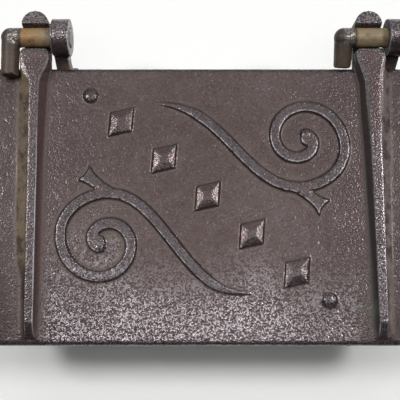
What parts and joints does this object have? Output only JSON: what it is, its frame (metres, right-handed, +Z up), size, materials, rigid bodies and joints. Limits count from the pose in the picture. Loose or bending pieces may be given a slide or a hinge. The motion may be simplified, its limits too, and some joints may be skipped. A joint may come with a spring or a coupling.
{
  "type": "tool box",
  "caption": "Cast iron tool box with a ribbed, scroll-ornamented lid whose hooks turn under bent pins held in brackets bolted to the back wall.",
  "frame": {"origin": "on the underside of the box, below the middle of the lid", "axes": "+X along the length of the lid to the viewer's right, +Y to the back where the hinges are, +Z up"},
  "size_m": [0.3048, 0.2138, 0.1085],
  "materials": {
    "cast_iron": "sand-cast skin, brown-grey with worn edges and light rust",
    "rusty_bar": "forged round bar with brown rust",
    "dark_steel": "dark oxidised fasteners"
  },
  "bodies": {
    "box": {"box_body": "cast_iron", "hinge_bracket_left": "cast_iron", "hinge_bracket_right": "cast_iron", "bracket_bolt_left_upper": "dark_steel", "bracket_bolt_left_lower": "dark_steel", "bracket_bolt_right_upper": "dark_steel", "bracket_bolt_right_lower": "dark_steel", "bracket_washer_left_upper": "dark_steel", "bracket_washer_left_lower": "dark_steel", "bracket_washer_right_upper": "dark_steel", "bracket_washer_right_lower": "dark_steel", "bracket_nut_left_upper": "dark_steel", "bracket_nut_left_lower": "dark_steel", "bracket_nut_right_upper": "dark_steel", "bracket_nut_right_lower": "dark_steel"},
    "lid": {"lid": "cast_iron"},
    "left_pin": {"hinge_pin_left": "rusty_bar"},
    "right_pin": {"hinge_pin_right": "rusty_bar"}
  },
  "joints": [
    {"name": "lid_hinge", "type": "hinge", "parent": "box", "child": "lid", "pos_m": [0, 0.1074, 0.09665], "axis": [-1, 0, 0], "range_deg": [0, 210]},
    {"name": "left_pin_swing", "type": "hinge", "parent": "lid", "child": "left_pin", "pos_m": [-0.1081, 0.1074, 0.09665], "axis": [-1, 0, 0], "range_deg": [0, 85]},
    {"name": "right_pin_swing", "type": "hinge", "parent": "box", "child": "right_pin", "pos_m": [0.1081, 0.1074, 0.09665], "axis": [1, 0, 0], "range_deg": [-100, 60]}
  ]
}
